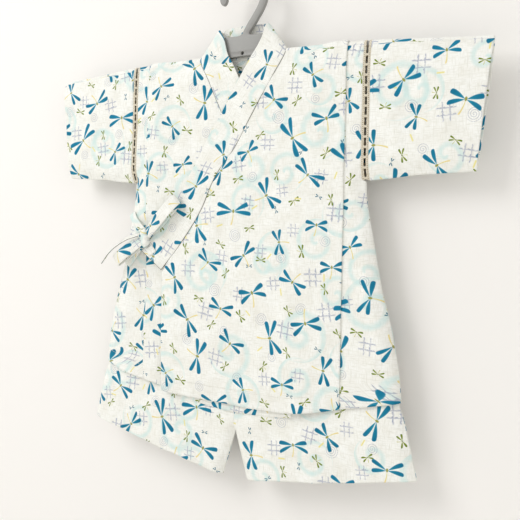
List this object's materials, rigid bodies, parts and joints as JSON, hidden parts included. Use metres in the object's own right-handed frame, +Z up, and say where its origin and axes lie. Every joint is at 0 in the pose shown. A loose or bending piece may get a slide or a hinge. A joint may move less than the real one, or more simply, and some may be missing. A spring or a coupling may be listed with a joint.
{
  "type": "jinbei pyjama set on a hanger",
  "caption": "Flat child's summer pyjama set: wrap-front jacket with short straight sleeves, ladder-lace seams and a side bow, shorts showing below, hung on a moulded hanger.",
  "frame": {"origin": "the point inside the top of the hook that rests on a rail", "axes": "+Z up, +X to the wearer's left, -Y to the front of the jacket"},
  "size_m": [0.5544, 0.0378, 0.588],
  "materials": {
    "printed_cotton": "slubby plain-weave cotton with a dragonfly and swirl print",
    "ladder_lace": "beige cotton ladder lace",
    "grey_plastic": "satin moulded plastic"
  },
  "bodies": {
    "root": {"hanger": "grey_plastic", "jacket_back": "printed_cotton", "jacket_front_over": "printed_cotton", "jacket_front_under": "printed_cotton", "collar_over": "printed_cotton", "collar_under": "printed_cotton", "collar_back": "printed_cotton", "sleeve_left_front": "printed_cotton", "sleeve_left_back": "printed_cotton", "sleeve_right_front": "printed_cotton", "sleeve_right_back": "printed_cotton", "tie_over": "printed_cotton", "tie_side": "printed_cotton", "bow_knot": "printed_cotton", "bow_loop_upper": "printed_cotton", "bow_loop_lower": "printed_cotton", "bow_tail_side": "printed_cotton", "bow_tail_low": "printed_cotton", "shorts_left_front": "printed_cotton", "shorts_left_back": "printed_cotton", "shorts_right_front": "printed_cotton", "shorts_right_back": "printed_cotton", "waistband_front": "printed_cotton", "waistband_back": "printed_cotton", "lace_left_front": "ladder_lace", "lace_left_back": "ladder_lace", "lace_right_front": "ladder_lace", "lace_right_back": "ladder_lace"}
  },
  "joints": []
}
